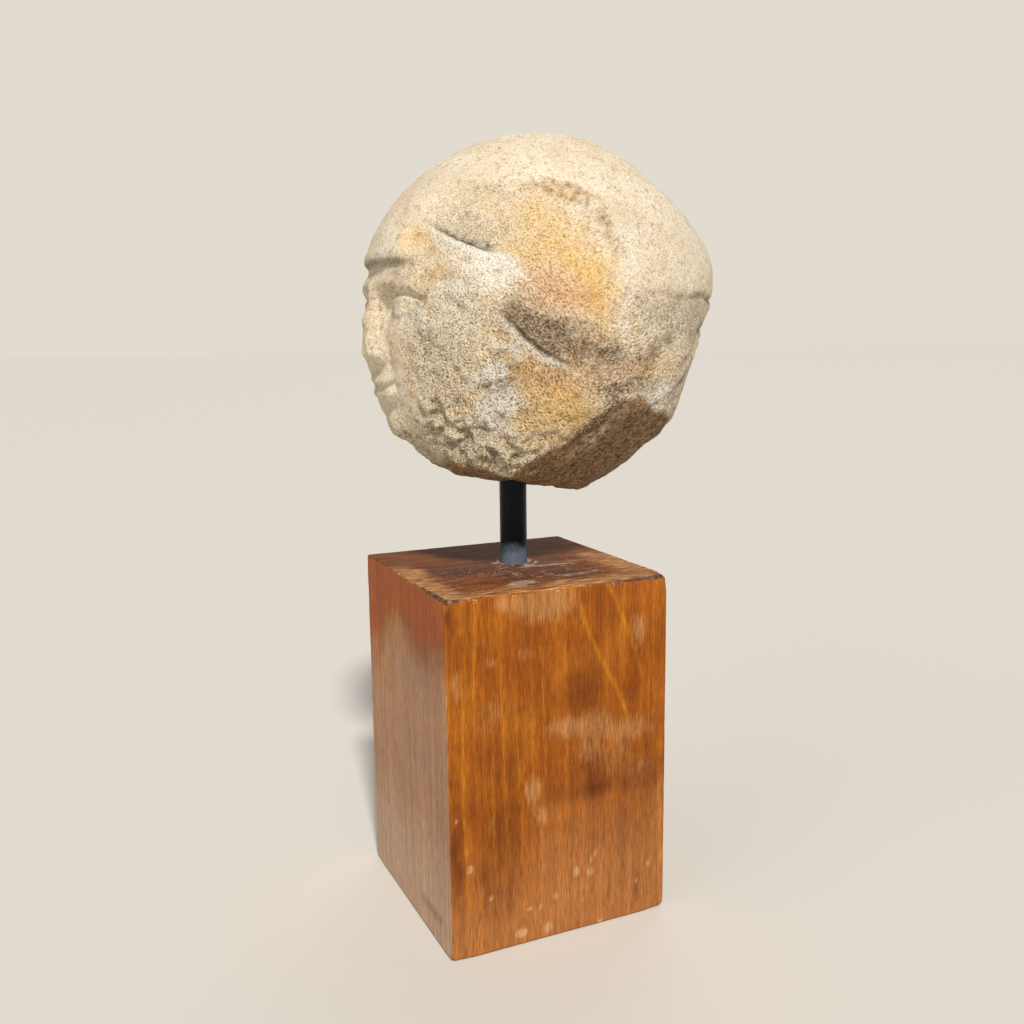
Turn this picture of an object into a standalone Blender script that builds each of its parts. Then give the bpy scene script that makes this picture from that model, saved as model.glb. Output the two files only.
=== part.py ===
"""Carved sandstone head in a close cap, held up by a black steel rod in a hardwood block.

The face looks along -Y and the head's left side is +X. The origin is the middle of the block's underside,
with +Z up. Driving dimensions are in millimetres. The carving is in hundredths of the head's height.
"""
import math

import bmesh
import bpy
import numpy as np

MM = 0.001

# Block of solid wood
BLOCK_WIDTH = 100.0
BLOCK_DEPTH = 100.0
BLOCK_HEIGHT = 150.0
BLOCK_EDGE = 1.5

# Steel rod
ROD_DIAMETER = 12.0
ROD_SHIFT_X = -5.0
ROD_SHIFT_Y = 4.5
ROD_BARE_LENGTH = 35.5
ROD_DEPTH_IN_BLOCK = 40.0
ROD_DEPTH_IN_HEAD = 45.0
ROD_CHAMFER = 0.8
ROD_SIDES = 40
FIT_GAP = 0.3
BORE_MOUTH = 0.9

# Head
HEAD_HEIGHT = 154.0
SPHERE_SEGMENTS = 168
SPHERE_RINGS = 100
KEPT_SHARE = 0.26

# Skull, in hundredths of the head's height from the point where the rod's axis meets its middle
HALF_WIDTH = 43.0
HALF_LENGTH = 52.8
HALF_HEIGHT = 50.0
SKULL_BACK = 9.3   # how far the ellipsoid's own middle lies behind the rod's axis
NAPE_SWELL = 2.2
JAW_SWELL = 6.5

# Cap: its rim is a sloping line, high over the brow and low at the nape
RIM_MIDDLE = 9.0
RIM_SLOPE = -0.143
RIM_STEP = 1.3

# Face: brow, nose base and chin lie a third of the face apart, and the head is about five eyes wide
FACE_THIRD = 19.5
EYE_WIDTH = 15.0
EYE_X = 15.0
BROW_Z = 9.0
EYE_Z = BROW_Z - 0.33 * FACE_THIRD
NOSE_Z = BROW_Z - FACE_THIRD
MOUTH_Z = NOSE_Z - FACE_THIRD / 3
CHIN_Z = BROW_Z - 2 * FACE_THIRD
NOSE_STUMP = 4.0

# Ledges on the broken left side: place (y, z), slope in degrees, half length, drop, run-out, and the
# bend: 0 sags in the middle, 90 sags in its first half and rises in the second
LEDGES = (
    (-21.3, 15.7, -38.5, 12.5, 1.9, 9.0, 90.0),
    (-10.4, -7.7, -36.5, 11.0, 2.5, 15.0, 0.0),
    (-27.0, 1.8, -34.0, 4.0, 0.7, 5.0, 0.0),
    (-18.0, -17.8, 38.0, 4.5, 0.6, 4.0, 0.0),
)

# Squarish round hollow on the left side: its middle and half sizes (y and z), how square, and depth
HOLLOW_Y = -14.0
HOLLOW_Z = 4.3
HOLLOW_HALF_Y = 24.7
HOLLOW_HALF_Z = 29.3
HOLLOW_SQUARE = 3.2
HOLLOW_DEPTH = 1.6

# Thin crack along the cap's rim at the back
CRACK_Z = 4.7

# Breaks that took flat pieces off: azimuth and elevation it faces, distance from the middle, softness
BREAKS = (
    (106.0, -45.0, 46.9, 0.8),
    (141.5, -51.0, 51.1, 1.5),
    (29.0, -77.0, 45.1, 2.0),
    (-95.0, -52.0, 45.0, 4.0),
    (146.0, -17.5, 51.9, 5.0),
    (155.5, 48.5, 54.2, 6.0),
    (0.0, -7.0, 40.0, 8.0),
)


def ease(value, low, high):
    """Goes smoothly from 0 at low to 1 at high."""
    share = np.clip((value - low) / (high - low), 0.0, 1.0)
    return share * share * (3.0 - 2.0 * share)


def dab(u, v, middle_u, middle_v, width_u, width_v):
    """A soft round swelling, 1 at its middle."""
    return np.exp(-((u - middle_u) / width_u) ** 2 - ((v - middle_v) / width_v) ** 2)


def soft_min(first, second, blend):
    """The smaller of two values, with the corner between them rounded."""
    share = np.clip(0.5 + 0.5 * (second - first) / blend, 0.0, 1.0)
    return second * (1.0 - share) + first * share - blend * share * (1.0 - share)


def lattice(i, j, k, seed):
    """A fixed value from -1 to 1 for each corner of a cubic lattice."""
    mixed = (i * 374761393 + j * 668265263 + k * 1274126177 + seed * 974634777).astype(np.uint64)
    mixed = mixed & np.uint64(0xFFFFFFFF)
    mixed = (mixed ^ (mixed >> np.uint64(13))) * np.uint64(1274126177) & np.uint64(0xFFFFFFFF)
    mixed = mixed ^ (mixed >> np.uint64(16))
    return mixed.astype(float) / 2.0**31 - 1.0


def rough(points, size, seed):
    """Smooth value noise from -1 to 1, with lumps of the given size."""
    place = points / size + 1000.0
    corner = np.floor(place).astype(np.int64)
    part = place - corner
    part = part * part * (3.0 - 2.0 * part)
    total = 0.0
    for dx in (0, 1):
        for dy in (0, 1):
            for dz in (0, 1):
                weight_x = part[:, 0] if dx else 1.0 - part[:, 0]
                weight_y = part[:, 1] if dy else 1.0 - part[:, 1]
                weight_z = part[:, 2] if dz else 1.0 - part[:, 2]
                value = lattice(corner[:, 0] + dx, corner[:, 1] + dy, corner[:, 2] + dz, seed)
                total = total + weight_x * weight_y * weight_z * value
    return total


def facing(azimuth, elevation):
    """Unit vector: azimuth 0 is the front (-Y) and 90 the head's left (+X)."""
    turn, lift = math.radians(azimuth), math.radians(elevation)
    return np.array([math.sin(turn) * math.cos(lift), -math.cos(turn) * math.cos(lift), math.sin(lift)])


def skull_radius(ways):
    """Distance from the middle to an ellipsoid set back from it, swollen at jaw and nape, cut by breaks."""
    half = np.array([HALF_WIDTH, HALF_LENGTH, HALF_HEIGHT])
    middle = np.array([0.0, SKULL_BACK, 0.0])
    a = np.sum((ways / half) ** 2, axis=1)
    b = np.sum(ways * middle / half**2, axis=1)
    c = np.sum((middle / half) ** 2) - 1.0
    radius = (b + np.sqrt(b * b - a * c)) / a
    x, y, z = (ways * radius[:, None]).T
    left = ease(x, 0.0, 18.0)
    radius = radius + left * NAPE_SWELL * dab(y, z, 6.0, -25.0, 22.0, 9.0)
    radius = radius + left * JAW_SWELL * dab(y, z, -15.0, -38.0, 15.0, 12.0)
    for azimuth, elevation, distance, blend in BREAKS:
        lean = np.maximum(ways @ facing(azimuth, elevation), 0.2)
        radius = soft_min(radius, distance / lean, blend)
    return radius


def cap_rim(x, y, z):
    """The cap stands proud of the brow; the step dies away below it and is all but lost on the left."""
    above = z - RIM_MIDDLE - RIM_SLOPE * y
    kept = 1.0 - ease(x, 13.0, 21.0) * (1.0 - 0.12 * ease(y, 16.0, 24.0))
    below = 1.0 - ease(above, -0.5, 0.6)
    fade = ease(above, -13.0, -1.0)
    lip = 0.5 * np.exp(-((above - 2.2) / 1.8) ** 2)
    return kept * (lip - RIM_STEP * below * fade)


def eyes(side, z):
    """A hollow under the brow, a round eyeball in it, and two thin lids round an almond."""
    across = (side - EYE_X) / (0.5 * EYE_WIDTH)
    almond = np.maximum(1.0 - across**2, 0.0)
    upper = EYE_Z + 2.3 * almond
    lower = EYE_Z - 1.5 * almond
    window = ease(almond, 0.0, 0.35)
    depth = -3.2 * dab(side, z, EYE_X - 0.5, EYE_Z + 0.4, 0.62 * EYE_WIDTH, 4.4)
    depth = depth - 1.5 * dab(side, z, 0.45 * EYE_X, EYE_Z + 0.6, 2.6, 3.6)
    depth = depth + 2.5 * dab(side, z, EYE_X, EYE_Z + 0.2, 0.42 * EYE_WIDTH, 2.9)
    depth = depth + window * 0.55 * np.exp(-(((z - upper) / 0.7) ** 2))
    depth = depth + window * 0.4 * np.exp(-(((z - lower) / 0.6) ** 2))
    return depth - 0.45 * window * np.exp(-(((z - upper - 1.5) / 0.6) ** 2))


def nose(side, z, chips):
    """A wedge that widens downward, its tip broken off, between two low wings."""
    down = ease(-z, -BROW_Z + 1.5, -NOSE_Z - 1.5)
    height = soft_min(1.2 + 5.8 * down, NOSE_STUMP + 0.7 * chips, 1.2)
    height = height * ease(z, NOSE_Z - 1.4, NOSE_Z + 2.2) * (1.0 - ease(z, BROW_Z - 4.0, BROW_Z + 2.5))
    half = 2.3 + 2.3 * down
    wings = 1.7 * dab(side, z, 5.0, NOSE_Z + 2.2, 2.0, 2.1)
    fold = -0.6 * dab(side, z, 8.4, NOSE_Z, 1.8, 3.4)
    return height * np.exp(-np.abs(side / half) ** 2.6) + wings + fold


def lips(side, z):
    """Closed lips with a shallow groove above them, their corners a little raised."""
    line = z - MOUTH_Z - 0.6 * (side / 8.0) ** 2
    width = 1.0 - ease(side, 5.0, 9.0)
    depth = 2.0 * dab(side, z, 0.0, MOUTH_Z, 10.5, 6.5)
    depth = depth + width * 0.9 * np.exp(-(((line - 1.6) / 1.3) ** 2))
    depth = depth + width * 1.1 * np.exp(-(((line + 2.0) / 1.6) ** 2))
    depth = depth - (1.0 - ease(side, 6.5, 9.5)) * 0.9 * np.exp(-((line / 0.7) ** 2))
    depth = depth - 0.5 * dab(side, z, 0.0, MOUTH_Z + 4.6, 1.3, 1.7)
    return depth - 0.6 * dab(side, z, 8.6, MOUTH_Z + 0.4, 1.4, 1.6)


def face(points):
    """A calm, worn face of plain proportions: brow, eyes, broken nose, closed lips, cheeks and chin."""
    x, y, z = points.T
    side = np.abs(x)
    brow_line = z - BROW_Z + 0.010 * (side - 9.0) ** 2
    depth = 1.5 * np.exp(-((brow_line / 2.2) ** 2)) * (1.0 - ease(side, 18.0, 27.0))
    depth = depth + eyes(side, z) + nose(side, z, rough(points, 2.6, 21)) + lips(side, z)
    depth = depth + 1.4 * dab(side, z, 15.5, NOSE_Z + 2.5, 8.0, 7.0)
    depth = depth - 0.8 * dab(side, z, 0.0, MOUTH_Z - 5.6, 6.0, 1.7)
    depth = depth + 3.2 * dab(side, z, 0.0, CHIN_Z + 2.5, 7.5, 4.2)
    depth = depth + 1.2 * dab(side, z, 18.0, CHIN_Z + 5.0, 9.0, 6.0)
    return ease(-y, 6.0, 22.0) * depth


def ear_stump(x, y, z):
    """A low worn swelling on the right side, all that is left of the ear there."""
    return 1.3 * ease(-x, 10.0, 24.0) * ease(dab(y, z, 3.0, -1.0, 5.0, 9.0), 0.1, 0.7)


def ledge(y, z, middle_y, middle_z, slope, half, drop, run_out, bend):
    """A lip whose upper side falls away sharply and comes back slowly, fading at both ends."""
    turn = math.radians(slope)
    along = math.cos(turn) * (y - middle_y) + math.sin(turn) * (z - middle_z)
    across = math.cos(turn) * (z - middle_z) - math.sin(turn) * (y - middle_y)
    across = across + 0.07 * half * np.cos(3.0 * along / half + math.radians(bend))
    ends = np.exp(-((along / half) ** 4))
    return ends * (0.25 * drop * np.exp(-(((across + 1.2) / 1.5) ** 2))
                   - drop * ease(across, -0.3, 0.9) * (1.0 - ease(across, 0.9, run_out)))


def hollow_inside(y, z):
    """How far in from the hollow's edge a point lies."""
    share = np.abs((y - HOLLOW_Y) / HOLLOW_HALF_Y) ** HOLLOW_SQUARE
    share = share + np.abs((z - HOLLOW_Z) / HOLLOW_HALF_Z) ** HOLLOW_SQUARE
    return 0.5 * (HOLLOW_HALF_Y + HOLLOW_HALF_Z) * (1.0 - share ** (1.0 / HOLLOW_SQUARE))


def left_break(points):
    """The broken left side: a round hollow behind a low scarp, with sharp ledges before it."""
    x, y, z = points.T
    wander = 1.4 * rough(points, 9.0, 3) + 0.5 * rough(points, 3.5, 4)
    inside = hollow_inside(y, z) + wander
    scarp = ease(inside, -0.4, 1.6) * (1.0 - 0.8 * ease(inside, 2.0, 17.0))
    upper = 0.45 * ease(z + 0.5 * y, -12.0, 4.0) + 0.55 * ease(z - 0.9 * y, 0.0, 16.0)
    depth = -HOLLOW_DEPTH * scarp * upper
    for middle_y, middle_z, slope, half, drop, run_out, bend in LEDGES:
        depth = depth + ledge(y, z + 0.3 * wander, middle_y, middle_z, slope, half, drop, run_out, bend)
    return ease(x, 10.0, 22.0) * depth


def back_crack(x, y, z):
    """A thin crack along the cap's rim at the back of the left side."""
    line = z - CRACK_Z - 0.5 * np.sin(0.35 * y)
    return -0.8 * np.exp(-((line / 0.7) ** 2)) * ease(y, 17.0, 24.0) * ease(x, 2.0, 14.0)


def weathering(points, broken):
    """Lumps and pits, deeper where the stone is broken and least on the cap."""
    lumps = 0.45 * rough(points, 12.0, 11) + 0.35 * rough(points, 6.0, 12)
    pits = -np.maximum(rough(points, 3.4, 13) - 0.15, 0.0)
    return lumps * (0.2 + 0.8 * broken) + 0.8 * pits * broken


def head_points(ways):
    """The head's surface along each direction, in hundredths of its height from its middle."""
    base = ways * skull_radius(ways)[:, None]
    x, y, z = base.T
    low = 1.0 - ease(z + 0.1 * y, -37.0, -27.0)
    left = ease(x, 12.0, 26.0) * ease(hollow_inside(y, z), -2.0, 8.0)
    broken = np.clip(low + 0.35 * left, 0.0, 1.0)
    depth = cap_rim(x, y, z) + face(base) + ear_stump(x, y, z)
    depth = depth + left_break(base) + back_crack(x, y, z) + weathering(base, broken)
    return base + ways * depth[:, None]


HEAD_UNIT = HEAD_HEIGHT / 100.0
UNDERSIDE = -head_points(np.array([[0.0, 0.0, -1.0]]))[0, 2] * HEAD_UNIT
HEAD_MIDDLE_Z = BLOCK_HEIGHT + ROD_BARE_LENGTH + UNDERSIDE
ROD_FOOT_Z = BLOCK_HEIGHT - ROD_DEPTH_IN_BLOCK
ROD_TOP_Z = BLOCK_HEIGHT + ROD_BARE_LENGTH + ROD_DEPTH_IN_HEAD
BORE_RADIUS = ROD_DIAMETER / 2.0 + FIT_GAP


def new_collection(name):
    collection = bpy.data.collections.new(name)
    bpy.context.scene.collection.children.link(collection)
    return collection


def new_material(name, colour, roughness, metallic=0.0):
    material = bpy.data.materials.new(name)
    material.use_nodes = True
    shader = material.node_tree.nodes["Principled BSDF"]
    shader.inputs["Base Color"].default_value = (*colour, 1.0)
    shader.inputs["Roughness"].default_value = roughness
    shader.inputs["Metallic"].default_value = metallic
    return material


def new_object(name, shape, collection):
    """Turns a bmesh in millimetres into an object in metres."""
    bmesh.ops.scale(shape, vec=(MM, MM, MM), verts=shape.verts)
    mesh = bpy.data.meshes.new(name)
    shape.to_mesh(mesh)
    shape.free()
    made = bpy.data.objects.new(name, mesh)
    collection.objects.link(made)
    return made


def make_cutter(name, radius_low, radius_high, low, high, collection):
    """A round cutter on the rod's axis, from one height to another."""
    shape = bmesh.new()
    bmesh.ops.create_cone(shape, cap_ends=True, segments=ROD_SIDES, radius1=radius_low, radius2=radius_high,
                          depth=high - low)
    bmesh.ops.translate(shape, vec=(ROD_SHIFT_X, ROD_SHIFT_Y, (low + high) / 2.0), verts=shape.verts)
    cutter = new_object(name, shape, collection)
    cutter.hide_render = True
    cutter.display_type = "WIRE"
    return cutter


def cut(made, cutter):
    modifier = made.modifiers.new(cutter.name, "BOOLEAN")
    modifier.operation = "DIFFERENCE"
    modifier.solver = "EXACT"
    modifier.object = cutter


def make_block(parts, cutters):
    shape = bmesh.new()
    bmesh.ops.create_cube(shape, size=1.0)
    bmesh.ops.scale(shape, vec=(BLOCK_WIDTH, BLOCK_DEPTH, BLOCK_HEIGHT), verts=shape.verts)
    bmesh.ops.translate(shape, vec=(0.0, 0.0, BLOCK_HEIGHT / 2.0), verts=shape.verts)
    block = new_object("wood_block", shape, parts)
    bevel = block.modifiers.new("worn edges", "BEVEL")
    bevel.width = BLOCK_EDGE * MM
    bevel.segments = 3
    bore_end = ROD_FOOT_Z - FIT_GAP
    over = BLOCK_HEIGHT + BORE_MOUTH
    cut(block, make_cutter("block_bore", BORE_RADIUS, BORE_RADIUS, bore_end, over, cutters))
    mouth_low = BLOCK_HEIGHT - BORE_MOUTH
    cut(block, make_cutter("block_bore_mouth", BORE_RADIUS - BORE_MOUTH, BORE_RADIUS + BORE_MOUTH * 2,
                           mouth_low - BORE_MOUTH, over, cutters))
    block.data.materials.append(new_material("oiled_hardwood", (0.36, 0.13, 0.03), 0.45))
    return block


def make_rod(parts):
    radius = ROD_DIAMETER / 2.0
    middle = (ROD_SHIFT_X, ROD_SHIFT_Y, (ROD_TOP_Z + ROD_FOOT_Z) / 2.0)
    shape = bmesh.new()
    bmesh.ops.create_cone(shape, cap_ends=True, segments=ROD_SIDES, radius1=radius, radius2=radius,
                          depth=ROD_TOP_Z - ROD_FOOT_Z)
    bmesh.ops.translate(shape, vec=middle, verts=shape.verts)
    rod = new_object("mounting_rod", shape, parts)
    chamfer = rod.modifiers.new("chamfer", "BEVEL")
    chamfer.width = ROD_CHAMFER * MM
    chamfer.segments = 1
    rod.data.materials.append(new_material("blackened_steel", (0.02, 0.022, 0.025), 0.5, 0.9))
    rod.data.shade_smooth()
    rod.data.set_sharp_from_angle(angle=math.radians(30.0))
    return rod


def make_head(parts, cutters):
    shape = bmesh.new()
    bmesh.ops.create_uvsphere(shape, u_segments=SPHERE_SEGMENTS, v_segments=SPHERE_RINGS, radius=1.0)
    ways = np.array([vertex.co[:] for vertex in shape.verts])
    ways = ways / np.linalg.norm(ways, axis=1)[:, None]
    places = head_points(ways) * HEAD_UNIT + np.array([ROD_SHIFT_X, ROD_SHIFT_Y, HEAD_MIDDLE_Z])
    for vertex, place in zip(shape.verts, places):
        vertex.co = place
    head = new_object("stone_head", shape, parts)
    fewer = head.modifiers.new("fewer faces", "DECIMATE")
    fewer.ratio = KEPT_SHARE
    low = BLOCK_HEIGHT + ROD_BARE_LENGTH / 2.0
    cut(head, make_cutter("head_bore", BORE_RADIUS, BORE_RADIUS, low, ROD_TOP_Z + FIT_GAP, cutters))
    head.data.materials.append(new_material("sandstone", (0.72, 0.60, 0.42), 0.9))
    head.data.shade_smooth()
    head.data.set_sharp_from_angle(angle=math.radians(40.0))
    return head


def main():
    for old in list(bpy.data.objects):
        bpy.data.objects.remove(old, do_unlink=True)
    parts = new_collection("Stone head on a block")
    cutters = new_collection("Cutters")
    make_block(parts, cutters)
    make_rod(parts)
    make_head(parts, cutters)


main()
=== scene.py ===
# Looks of a broken sandstone head on a black steel rod in a stained hardwood block.
# The frame's row is in metres; sizes here are in millimetres unless a name says otherwise.
import math
from math import radians

import bpy
import numpy as np
from mathutils import Matrix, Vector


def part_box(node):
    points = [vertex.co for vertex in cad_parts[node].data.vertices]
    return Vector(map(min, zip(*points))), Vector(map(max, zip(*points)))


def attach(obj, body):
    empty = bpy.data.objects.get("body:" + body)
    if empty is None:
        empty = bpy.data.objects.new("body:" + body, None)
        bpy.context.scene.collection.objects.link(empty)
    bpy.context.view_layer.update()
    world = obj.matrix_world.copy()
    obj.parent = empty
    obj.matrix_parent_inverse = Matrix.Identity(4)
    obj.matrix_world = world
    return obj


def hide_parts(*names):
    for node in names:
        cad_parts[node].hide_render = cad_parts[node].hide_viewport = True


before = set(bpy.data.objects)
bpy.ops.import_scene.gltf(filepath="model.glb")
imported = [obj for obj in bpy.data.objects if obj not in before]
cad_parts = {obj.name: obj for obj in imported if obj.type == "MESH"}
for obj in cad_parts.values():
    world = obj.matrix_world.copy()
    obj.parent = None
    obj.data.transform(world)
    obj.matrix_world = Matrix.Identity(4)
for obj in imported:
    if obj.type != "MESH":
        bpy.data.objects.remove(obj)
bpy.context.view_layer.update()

metre = 0.001


# Keeps a value from 0 to high
def clamp(value, high=1):
    return np.clip(value, 0, high)


# Goes smoothly from 0 at start to 1 at end, which may also be the smaller of the two
def ease(value, start, end):
    share = clamp((value - start) / (end - start))
    return share * share * (3.0 - 2.0 * share)


# A soft round spot, 1 at its middle: exp of minus the squared distance in widths
def dab(u, v, middleU, middleV, widthU, widthV):
    return np.exp(-((u - middleU) / widthU) ** 2 - ((v - middleV) / widthV) ** 2)


# The sum of soft spots, each (middle u, middle v, half width, half height, strength)
def sumSpots(u, v, spots):
    return sum(strength * dab(u, v, *spot) for *spot, strength in spots)


# A soft ridge, 1 along its middle: exp of minus the squared distance in widths
def ridge(value, middle, width):
    return np.exp(-((value - middle) / width) ** 2)


# The smaller of two values with the corner between them rounded over blend
def softMin(first, second, blend):
    share = clamp(0.5 + 0.5 * (second - first) / blend)
    return second * (1.0 - share) + first * share - blend * share * (1.0 - share)


# A fixed value from -1 to 1 for each corner of a cubic lattice, by mixing whole numbers
def lattice(i, j, k, seed):
    mixed = (i * 374761393 + j * 668265263 + k * 1274126177 + seed * 974634777).astype(np.uint64)
    mixed = mixed & np.uint64(0xFFFFFFFF)
    mixed = (mixed ^ (mixed >> np.uint64(13))) * np.uint64(1274126177) & np.uint64(0xFFFFFFFF)
    mixed = mixed ^ (mixed >> np.uint64(16))
    return mixed.astype(float) / 2.0**31 - 1.0


# Value noise from -1 to 1: lattice values joined smoothly, with lumps of the given size
def rough(points, size, seed):
    place = points / size + 1000.0
    corner = np.floor(place).astype(np.int64)
    part = place - corner
    part *= part * (3.0 - 2.0 * part)
    total = 0.0
    for step in np.ndindex(2, 2, 2):
        weight = np.prod(np.where(step, part, 1.0 - part), axis=1)
        total += weight * lattice(*(corner + step).T, seed)
    return total


# Drift in two directions: the sum of waves of noise, each (strength, size, seed)
def drifting(points, *waves):
    return sum(strength * np.stack([rough(points, size, seed), rough(points, size, seed + 1)])
               for strength, size, seed in waves)


# How far along and across a line lies that slopes by some degrees in the plane of u and v
def alongSlope(u, v, slope):
    turn = radians(slope)
    return math.cos(turn) * u + math.sin(turn) * v, math.cos(turn) * v - math.sin(turn) * u


# Unit vector: azimuth 0 is the front (-Y) and 90 the head's left (+X)
def facing(azimuth, elevation):
    turn, lift = radians(azimuth), radians(elevation)
    return np.array([math.sin(turn) * math.cos(lift), -math.cos(turn) * math.cos(lift), math.sin(lift)])


# sRGB hex to the linear colour that shaders take
def linearColour(hexValue):
    shares = np.array([int(hexValue[i:i + 2], 16) for i in (1, 3, 5)]) / 255.0
    shares = np.where(shares <= 0.04045, shares / 12.92, ((shares + 0.055) / 1.055) ** 2.4)
    return (*map(float, shares), 1.0)


# Sets a node's inputs to plain values, hex colours or linked outputs
def setInputs(tree, node, inputs):
    for key, value in inputs.items():
        if isinstance(value, bpy.types.NodeSocket):
            tree.links.new(value, node.inputs[key])
        else:
            node.inputs[key].default_value = linearColour(value) if isinstance(value, str) else value


# Adds one node of a kind, with its inputs and its properties
def addNode(tree, kind, inputs=None, settings=None):
    node = tree.nodes.new("ShaderNode" + kind)
    for name, value in (settings or {}).items():
        if name == "stops":
            ramp = node.color_ramp
            while len(ramp.elements) < len(value):
                ramp.elements.new(0.5)
            for element, (place, hexValue) in zip(ramp.elements, value):
                element.position = place
                element.color = linearColour(hexValue)
        else:
            setattr(node, name, value)
    setInputs(tree, node, inputs or {})
    return node


# Brief forms of the nodes used most
def addNoise(tree, place, scale, detail=3, roughness=0.6):
    sizes = {"Vector": place, "Scale": scale, "Detail": detail, "Roughness": roughness}
    return addNode(tree, "TexNoise", sizes).outputs["Fac"]


def remap(tree, value, low, high, first=0, last=1):
    limits = {0: value, 1: low, 2: high, 3: first, 4: last}
    return addNode(tree, "MapRange", limits).outputs[0]


def calculate(tree, operation, *values):
    return addNode(tree, "Math", dict(enumerate(values)), {"operation": operation}).outputs[0]


def times(tree, first, second):
    return calculate(tree, "MULTIPLY", first, second)


def mixColours(tree, amount, first, second, blend="MIX"):
    kind = {"data_type": "RGBA", "blend_type": blend}
    return addNode(tree, "Mix", {0: amount, 6: first, 7: second}, kind).outputs[2]


def shadeColour(tree, colour, factor):
    return addNode(tree, "VectorMath", {0: colour, "Scale": factor}, {"operation": "SCALE"}).outputs[0]


def rampColour(tree, value, *stops):
    return addNode(tree, "ValToRGB", {"Fac": value}, {"stops": stops}).outputs["Color"]


# The piece's own attributes by name
def readMarks(tree, *keys):
    return {key: addNode(tree, "Attribute", settings={"attribute_name": key}).outputs["Fac"] for key in keys}


# A material with an empty Principled shader; returns the material, its tree and the shader
def newMaterial(name):
    material = bpy.data.materials.new(name)
    material.use_nodes = True
    tree = material.node_tree
    return material, tree, tree.nodes["Principled BSDF"]


# A new object in the scene
def addObject(name, data):
    made = bpy.data.objects.new(name, data)
    bpy.context.scene.collection.objects.link(made)
    return made


# A closed surface from rings of points (rows, columns, 3), with one point before and one after them.
# Each column turns anticlockwise seen from above and each row goes on outward, so faces point out.
def ringMesh(name, rings, first, last, attributes, material):
    rows, columns = rings.shape[:2]
    points = np.vstack([rings.reshape(-1, 3), first, last]) * metre
    here = np.arange(columns)
    after = (here + 1) % columns
    start = (np.arange(rows - 1) * columns)[:, None]
    quads = np.stack([start + here, start + after, start + columns + after, start + columns + here], -1)
    topRow = (rows - 1) * columns
    firstFan = np.stack([np.full(columns, rows * columns), after, here], -1)
    lastFan = np.stack([topRow + here, topRow + after, np.full(columns, rows * columns + 1)], -1)
    mesh = bpy.data.meshes.new(name)
    mesh.from_pydata(points, [], [*quads.reshape(-1, 4).tolist(), *firstFan.tolist(), *lastFan.tolist()])
    for key, values in attributes.items():
        layer = mesh.attributes.new(key, "FLOAT", "POINT")
        layer.data.foreach_set("value", np.append(values.ravel(), [0.0, 0.0]).astype(np.float32))
    mesh.shade_smooth()
    mesh.materials.append(material)
    mesh.validate()
    return addObject(name, mesh)


print("camera and light")

cameraSizes = {
    "place": (411.6, -186.8, 246.9),
    "azimuth": 65.4,
    "down": 9.26,
    "roll": -0.67,
    "lens": 36.7,
}

lightSizes = {
    # azimuth, elevation and softness in degrees, strength, colour
    "key": (76, 43, 6, 3.25, "#fffaf3"),
    "fill": (16, 20, 50, 0.52, "#fff6ea"),
    "back": (235, 45, 40, 0.4, "#ffffff"),
    "sky": 0.24,
    "backdrop": "#e2dbd0",  # how the plain background looks, near the floor
}


# Turns an object to three axes and puts it in its place
def standAt(made, right, up, back, place):
    stand = np.eye(4)
    stand[:3] = np.stack([right, up, back, place], -1)
    made.matrix_world = Matrix(stand.tolist())


# The camera stands where the photograph's stood, worked out from the block's corners
def makeCamera():
    turn = radians(cameraSizes["azimuth"])
    back = facing(cameraSizes["azimuth"], cameraSizes["down"])
    right = np.array([math.cos(turn), math.sin(turn), 0.0])
    leanRight, leanUp = alongSlope(right, np.cross(back, right), cameraSizes["roll"])
    data = bpy.data.cameras.new("camera")
    data.sensor_width = 36.0
    data.lens = cameraSizes["lens"]
    data.clip_start = 0.01
    camera = addObject("camera", data)
    standAt(camera, leanRight, leanUp, back, np.array(cameraSizes["place"]) * metre)
    bpy.context.scene.camera = camera


# Broad lamps far off, so that the floor is lit as evenly as the object
def makeLights():
    for name in ("key", "fill", "back"):
        azimuth, elevation, softness, strength, colour = lightSizes[name]
        way = facing(azimuth, elevation)
        data = bpy.data.lights.new(name, "SUN")
        data.angle = radians(softness)
        data.energy = strength
        data.color = linearColour(colour)[:3]
        right = np.cross([0.0, 0.0, 1.0], way)
        right /= np.linalg.norm(right)
        standAt(addObject(name, data), right, np.cross(way, right), way, way)
    # the background looks as pale as the floor, but lights the object less than that
    world = bpy.data.worlds.new("studio")
    world.use_nodes = True
    tree = world.node_tree
    sight = addNode(tree, "LightPath").outputs["Is Camera Ray"]
    level = lightSizes["sky"]
    soft = (level, 0.975 * level, 0.935 * level, 1.0)
    seen = mixColours(tree, sight, soft, lightSizes["backdrop"])
    tree.links.new(seen, tree.nodes["Background"].inputs["Color"])
    bpy.context.scene.world = world
    # colours come out as they are given, without a film look
    bpy.context.scene.view_settings.view_transform = "Standard"


# Matt painted board, a warm pale grey
def makeFloor():
    material, tree, shader = newMaterial("matt painted board")
    setInputs(tree, shader, {"Base Color": "#d9d6d0", "Roughness": 0.9})
    half = 30.0  # metres, so that the floor goes on past the camera's view
    corners = [(-half, -half, 0), (half, -half, 0), (half, half, 0), (-half, half, 0)]
    mesh = bpy.data.meshes.new("floor")
    mesh.from_pydata(corners, [], [(0, 1, 2, 3)])
    mesh.materials.append(material)
    floor = addObject("floor", mesh)


makeCamera()
makeLights()
makeFloor()

print("stone head")

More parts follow.
